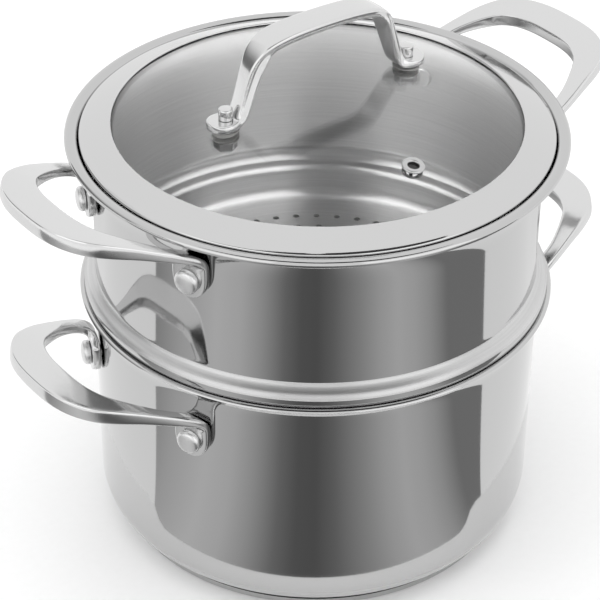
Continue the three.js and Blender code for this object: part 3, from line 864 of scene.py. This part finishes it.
# Each point from the foot to the crown: out and up, then half the width and half the thickness.
bow_half = [
    (57.4, low, 0.9, 1.5), (57.0, low, 3.0, 1.8), (55.8, low, 5.1, 1.9), (53.4, low, 6.8, 1.9),
    (50.0, low, 7.4, 1.9), (46.8, low, 6.6, 1.95), (44.6, low + 0.4, 5.3, 2.1),
    (43.0, low + 2.4, 4.3, 2.2), (41.6, low + 6.4, 3.7, 2.3), (39.2, low + 14, 3.7, 2.3),
    (36.6, low + 22, 4.3, 2.3), (34.2, crown - 7.6, 5.4, 2.3), (30.6, crown - 3.6, 6.7, 2.2),
    (25.0, crown - 1.5, 7.5, 2.2), (17.0, crown - 0.5, 7.5, 2.2), (8.0, crown - 0.1, 7.5, 2.2),
]
bow_line = bow_half + [(0.0, crown, 7.5, 2.2)] + [(-x, z, w, t) for x, z, w, t in bow_half[::-1]]
bow_stations = []
for i, (x, z, wide, thick) in enumerate(bow_line):
    before, after = bow_line[max(i - 1, 0)], bow_line[min(i + 1, len(bow_line) - 1)]
    run = Vector((after[0] - before[0], 0, after[1] - before[1])).normalized()
    up = Vector((run.z, 0, -run.x))
    leg = ease(30, 37, abs(x)) * (1 - ease(40.5, 44.8, abs(x)))
    under = 1.0 + 0.7 * leg
    bow_stations.append((Vector((x, 0, z)), Vector((0, wide, 0)), up * thick, under, 0.32))
bm = bmesh.new()
loft(bm, bow_stations)
piece("lid_bow", bm, "lid", "lid_handle", [buffed_steel], sharp=80, subdivide=2)

# %% [markdown]
# A stud goes through each foot, a seal, the glass and a second seal into a nut. The studs are
# turned, and the nuts are six-sided bar with bevelled corners. The seals' CAD solids have their
# shape already, so they only need their rubber.

# %% Studs, nuts and seals
STUD_R, STUD_HEAD_R, NUT_R, NUT_H = 2.0, 3.2, 5.2, 4.5
NUT_TOP_Z = LID_TOP_Z - sag(STUD_X) - GLASS_T - SEAL_H - FIT
stud_end, head = NUT_TOP_Z - 5.5, FOOT_Z + BOW_T + FIT - 0.4
stud_section = [(0, stud_end), (STUD_R, stud_end), (STUD_R, head), (STUD_HEAD_R, head)]
stud_section += [*arc(STUD_HEAD_R - 0.8, head + 4.1, 0.8, 0, 75, 6), (0, head + 4.9)]
for side, x in (("left", -STUD_X), ("right", STUD_X)):
    bm = bmesh.new()
    turned(bm, stud_section, steps=40)
    bmesh.ops.translate(bm, verts=bm.verts[:], vec=(x * MM, 0, 0))
    piece(f"lid_stud_pin_{side}", bm, "lid", f"lid_stud_{side}", [buffed_steel])
    bm = bmesh.new()
    bmesh.ops.create_cone(
        bm, cap_ends=True, segments=6, radius1=NUT_R * MM, radius2=NUT_R * MM, depth=NUT_H * MM,
        matrix=Matrix.Translation((x * MM, 0, (NUT_TOP_Z - NUT_H / 2) * MM)),
    )
    bmesh.ops.bevel(
        bm, geom=bm.edges[:], offset=0.5 * MM, affect="EDGES", segments=3, profile=0.5, material=-1,
    )
    piece(f"lid_nut_hex_{side}", bm, "lid", f"lid_nut_{side}", [buffed_steel])
    for kind in ("lid_seal", "lid_under_seal"):
        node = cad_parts[f"{kind}_{side}"]
        node.data.materials.clear()
        node.data.materials.append(grey_silicone)

# %% [markdown]
# Steam leaves by a steel eyelet through the glass. It is a small spun tube with a flange on each
# side, tilted to stand square on the dome. Its bore has a dark finish, which is painted shade for
# the inside of the hole.

# %% Vent eyelet
VENT_Y, VENT_BORE_R = -66.0, 2.0
vent_low = -GLASS_T - FIT
vent_section = [(VENT_BORE_R, vent_low - 0.8), (2.3, vent_low - 1.0), (4.2, vent_low - 1.0)]
vent_section += [(4.5, vent_low - 0.6), (4.4, vent_low), (3.0, vent_low), (3.0, FIT), (4.9, FIT)]
vent_section += [*arc(4.3, FIT + 0.35, 0.7, 0, 80, 6), *arc(3.2, FIT + 0.25, 0.8, 100, 180, 6)]
vent_section += [(2.3, FIT - 0.3), (VENT_BORE_R, FIT - 0.8)]
bm = bmesh.new()
turned(bm, vent_section, steps=48, closed=True)
# The bore faces take the dark finish: painted shade for the inside of the hole.
for face in bm.faces:
    if face.calc_center_median().xy.length < (VENT_BORE_R + 0.36) * MM:
        face.material_index = 1
tilt = Matrix.Rotation(-math.asin(VENT_Y / DOME_R), 4, "X")
spot = Matrix.Translation((0, VENT_Y * MM, (LID_TOP_Z - sag(VENT_Y)) * MM))
bmesh.ops.transform(bm, matrix=spot @ tilt, verts=bm.verts[:])
piece("vent_ring", bm, "lid", "vent_eyelet", [mirror_steel, bore_shade_finish])

# %% [markdown]
# The pot stands on white paper, laid flat and far enough to fill the picture. The floor, and all
# that only lights the object, is made by its own helper, apart from the pieces and their bodies.

# %% Floor
def stage_mesh(name, bm, finish):
    mesh = bpy.data.meshes.new(name)
    bm.to_mesh(mesh)
    bm.free()
    mesh.materials.append(finish)
    obj = bpy.data.objects.new(name, mesh)
    bpy.context.collection.objects.link(obj)
    return obj


# Gives the eye a plain matt white. The fibres are drawn at 4 mm, coarser than real ones, to show.
paper, tree, shader, place = new_finish("white_paper_sweep")
fibre = add(tree, "ShaderNodeTexNoise", values={"Scale": 1 / (4 * MM)}, links={"Vector": place})
tone = add(
    tree, "ShaderNodeMix", {"data_type": "RGBA"},
    {"A": colour("#F8F8F8"), "B": colour("#FCFCFC")}, {"Factor": fibre.outputs["Fac"]},
)
tree.links.new(tone.outputs["Result"], shader.inputs["Base Color"])
shader.inputs["Roughness"].default_value = 0.9
shader.inputs["Specular IOR Level"].default_value = 0.0
bm = bmesh.new()
bmesh.ops.create_circle(bm, cap_ends=True, segments=96, radius=6.0)
floor = stage_mesh("floor", bm, paper)
print("floor:", [round(side, 1) for side in floor.dimensions], "m")

# %% [markdown]
# Polished metal is only as good as what it mirrors. Seen from above, the walls mirror the table,
# so cards lie on it as a photographer would lay them. The one in front is darkest in the middle
# and has a clean edge at each side; the one behind is white and greys towards the back. Their
# tones are set by the angle round the pot, from 0 at the camera's side.

# %% Card finishes
# Gives the mirrors a smooth run of greys. The angles are degrees, rising to the right.
VIEW_TURN = math.radians(-37.4)


def card_finish(name, stops):
    finish, tree, shader, place = new_finish(name)
    tree.nodes.remove(shader)
    faced = add(
        tree, "ShaderNodeMapping", values={"Rotation": (0, 0, math.pi / 2 - VIEW_TURN)},
        links={"Vector": place},
    )
    spin = add(
        tree, "ShaderNodeTexGradient", {"gradient_type": "RADIAL"},
        links={"Vector": faced.outputs[0]},
    )
    ramp = add(tree, "ShaderNodeValToRGB", links={"Fac": spin.outputs["Fac"]})
    bar = ramp.color_ramp
    while len(bar.elements) < len(stops):
        bar.elements.new(0.5)
    for element, (angle, code) in zip(bar.elements, stops):
        element.position = 0.5 + angle / 360
        element.color = colour(code)
    glow = add(tree, "ShaderNodeEmission", links={"Color": ramp.outputs["Color"]})
    tree.links.new(glow.outputs[0], tree.nodes["Material Output"].inputs["Surface"])
    return finish


front = [(-75, "#9D9D9D"), (-60, "#C0C0C0"), (-43, "#D6D6D6"), (-32, "#CCCCCC"), (-23, "#B1B1B1")]
front += [(-13, "#7D7D7D"), (-6, "#646464"), (1, "#606060"), (8, "#757575"), (20, "#A2A2A2")]
front += [(28, "#BCBCBC"), (36, "#CBCBCB"), (44, "#C3C3C3"), (51, "#B1B1B1"), (60, "#868686")]
behind = [(122, "#FFFFFF"), (135, "#F0F0F0"), (152, "#D4D4D4"), (168, "#B4B4B4"), (180, "#9C9C9C")]
behind = [(-angle, code) for angle, code in behind[::-1]] + behind
grey_card, pale_card = card_finish("grey_card", front), card_finish("pale_card", behind)
print("card tones:", len(front), "in front,", len(behind), "behind")

# %% [markdown]
# The two cards are one ring cut along a line. The ring leaves the paper clear round the foot, and
# its hole is drawn out a little towards the cut, which rounds the corners that the wall mirrors.
# Only reflections see the cards: they cast no shadow and don't show in the picture.

# %% Cards on the table
CARD_INNER_R, CARD_OUTER_R, CARD_Z, CARD_CUT_Y = 126.0, 900.0, 0.6, -61.0
CARD_SKEW, CARD_DRAW = 0.053, 0.09


def lay_card(name, finish, cut_normal):
    bm = bmesh.new()
    turned(bm, [(CARD_INNER_R, CARD_Z), (CARD_OUTER_R, CARD_Z)], steps=96)
    for v in bm.verts:
        if v.co.xy.length < 2 * CARD_INNER_R * MM:
            away = math.degrees(math.atan2(abs(v.co.x), abs(v.co.y)))
            v.co.xy *= 1 + CARD_DRAW * ease(49, 63, away) ** 2
    bmesh.ops.bisect_plane(
        bm, geom=bm.verts[:] + bm.edges[:] + bm.faces[:], plane_co=(0, CARD_CUT_Y * MM, 0),
        plane_no=cut_normal, clear_outer=True,
    )
    bmesh.ops.rotate(
        bm, verts=bm.verts[:], cent=(0, 0, 0), matrix=Matrix.Rotation(VIEW_TURN, 3, "Z"),
    )
    laid = stage_mesh(name, bm, finish)
    for ray in ("camera", "diffuse", "transmission", "shadow"):
        setattr(laid, f"visible_{ray}", False)
    print(name, "faces:", len(laid.data.polygons))


lay_card("grey_card", grey_card, (-CARD_SKEW, 1, 0))
lay_card("pale_card_behind", pale_card, (CARD_SKEW, -1, 0))

# %% [markdown]
# The room above the table is hung with cloths. Bright ones beside the lens and dark ones above
# and to the left draw the bright and dark lines in the bead, the lips and the handles. Others are
# seen only through the glass: they light the steamer's inside from the sides and from behind, with
# a dark strip in front. A cloth is a plain glow with a weave, and some are graded from low to high.

# %% Cloths
# Gives the mirrors an even glow. The weave is drawn at 8 mm, coarser than real thread.
SKY_R = 2.4


def cloth(name, dark, light, strength):
    finish, tree, shader, place = new_finish(name)
    tree.nodes.remove(shader)
    weave = add(tree, "ShaderNodeTexNoise", values={"Scale": 1 / (8 * MM)}, links={"Vector": place})
    tone = add(
        tree, "ShaderNodeMix", {"data_type": "RGBA"},
        {"A": colour(dark), "B": colour(light)}, {"Factor": weave.outputs["Fac"]},
    )
    glow = add(
        tree, "ShaderNodeEmission", values={"Strength": strength},
        links={"Color": tone.outputs["Result"]},
    )
    tree.links.new(glow.outputs[0], tree.nodes["Material Output"].inputs["Surface"])
    return finish


def graded_cloth(name, low, high, at_low, at_high):
    finish = cloth(name, "#F8F8F8", "#FFFFFF", 1.0)
    tree = finish.node_tree
    place = add(tree, "ShaderNodeTexCoord").outputs["Object"]
    axes = add(tree, "ShaderNodeSeparateXYZ", links={0: place})
    heights = [SKY_R * math.sin(math.radians(angle)) for angle in (low, high)]
    grade = add(
        tree, "ShaderNodeMapRange", {"interpolation_type": "SMOOTHSTEP"},
        {"From Min": heights[0], "From Max": heights[1], "To Min": at_low, "To Max": at_high},
        {"Value": axes.outputs[2]},
    )
    tree.links.new(grade.outputs[0], tree.nodes["Emission"].inputs["Strength"])
    return finish


black_cloth = cloth("black_cloth", "#3C3C3C", "#484848", 1.0)
white_cloth = cloth("white_diffusion_cloth", "#F8F8F8", "#FFFFFF", 1.5)
lit_cloth = cloth("lit_diffusion_cloth", "#F8F8F8", "#FFFFFF", 2.7)
back_cloth = graded_cloth("graded_diffusion_cloth", 42, 60, 1.4, 0.1)
grey_cloth = graded_cloth("graded_grey_cloth", 16, 50, 0.2, 1.02)
print("cloths:", black_cloth.name, white_cloth.name, lit_cloth.name, back_cloth.name, grey_cloth.name)

# %% [markdown]
# Each cloth hangs on one big sphere, between two heights and two angles round the pot, in degrees
# from the camera's side. Area lamps could do the same, but a patch has a shape that a mirror shows
# well. Every patch is hidden from the camera and casts nothing, and is kept from either the
# mirrors or the glass as well.

# %% Panels and flags
def sky_patch(name, finish, low, high, left, right, hidden):
    bm = bmesh.new()
    verts = [bm.verts.new((r, 0, z)) for r, z in arc(0, 0, SKY_R, low, high, 12)]
    edges = [bm.edges.new(pair) for pair in zip(verts, verts[1:])]
    start = Matrix.Rotation(VIEW_TURN - math.pi / 2 + math.radians(left), 3, "Z")
    bmesh.ops.rotate(bm, verts=verts, cent=(0, 0, 0), matrix=start)
    bmesh.ops.spin(
        bm, geom=verts + edges, cent=(0, 0, 0), axis=(0, 0, 1), dvec=(0, 0, 0),
        angle=math.radians(right - left), steps=32, use_duplicate=False,
    )
    patch = stage_mesh(name, bm, finish)
    for ray in ("camera", "diffuse", "shadow", hidden):
        setattr(patch, f"visible_{ray}", False)
    print(name, "faces:", len(patch.data.polygons))


sky_patch("dark_flag", black_cloth, 63, 88, -85, 110, "transmission")
sky_patch("panel_left", white_cloth, 10, 47, -66, -18, "transmission")
sky_patch("panel_right", white_cloth, 10, 47, 20, 70, "transmission")
sky_patch("graded_panel_back", back_cloth, 4, 89, 108, 252, "glossy")
sky_patch("grey_flag_left", grey_cloth, 8, 50, -128, -84, "transmission")
sky_patch("inside_panel_left", lit_cloth, 4, 80, -107, -38, "glossy")
sky_patch("inside_panel_right", lit_cloth, 4, 80, 14, 107, "glossy")
sky_patch("dark_strip_front", black_cloth, 0, 88, -38, 14, "glossy")

# %% [markdown]
# The light is a white room, which is what the steel mirrors where no cloth hangs. Two soft lamps,
# hidden from mirrors and glass, lift the paper towards white and leave a soft shadow round the
# foot of the pot.

# %% Light
ROOM_LEVEL = 1.04
world = bpy.data.worlds.new("white_room")
bpy.context.scene.world = world
world.use_nodes = True
world.node_tree.nodes["Background"].inputs["Color"].default_value = colour("#FFFFFF")
world.node_tree.nodes["Background"].inputs["Strength"].default_value = ROOM_LEVEL


def soft_lamp(name, spot, aim, size, power):
    light = bpy.data.lights.new(name, "AREA")
    light.shape = "SQUARE"
    light.size = size
    light.energy = power
    obj = bpy.data.objects.new(name, light)
    bpy.context.collection.objects.link(obj)
    obj.location = spot
    obj.rotation_euler = (Vector(aim) - Vector(spot)).to_track_quat("-Z", "Y").to_euler()
    obj.visible_glossy = obj.visible_transmission = False
    print(name, power, "W")


soft_lamp("key_lamp", (-1.2, 0.3, 1.7), (0, 0, 0.15), 0.6, 3.0)
soft_lamp("top_softbox", (0.0, 0.0, 2.3), (0, 0, 0), 2.6, 13.0)

# %% [markdown]
# The camera stands where the picture was taken: about a metre off and well round to the left,
# looking 34 degrees down. Its place was worked out from the rims, which are true circles.

# %% Camera
CAMERA_PLACE = (-0.5169, -0.6760, 0.6835)
CAMERA_TURN, CAMERA_DOWN, CAMERA_ROLL = -36.93, 34.23, 0.5
lens = bpy.data.cameras.new("camera")
lens.lens = 133.5
lens.sensor_width = 36.0
camera = bpy.data.objects.new("camera", lens)
bpy.context.collection.objects.link(camera)
aim = Matrix.Rotation(math.radians(CAMERA_TURN), 4, "Z")
aim = aim @ Matrix.Rotation(math.radians(90 - CAMERA_DOWN), 4, "X")
aim = aim @ Matrix.Rotation(math.radians(CAMERA_ROLL), 4, "Z")
camera.matrix_world = Matrix.Translation(CAMERA_PLACE) @ aim
scene = bpy.context.scene
scene.camera = camera
scene.view_settings.view_transform = "Standard"
print("camera at", [round(c, 3) for c in camera.matrix_world.translation])
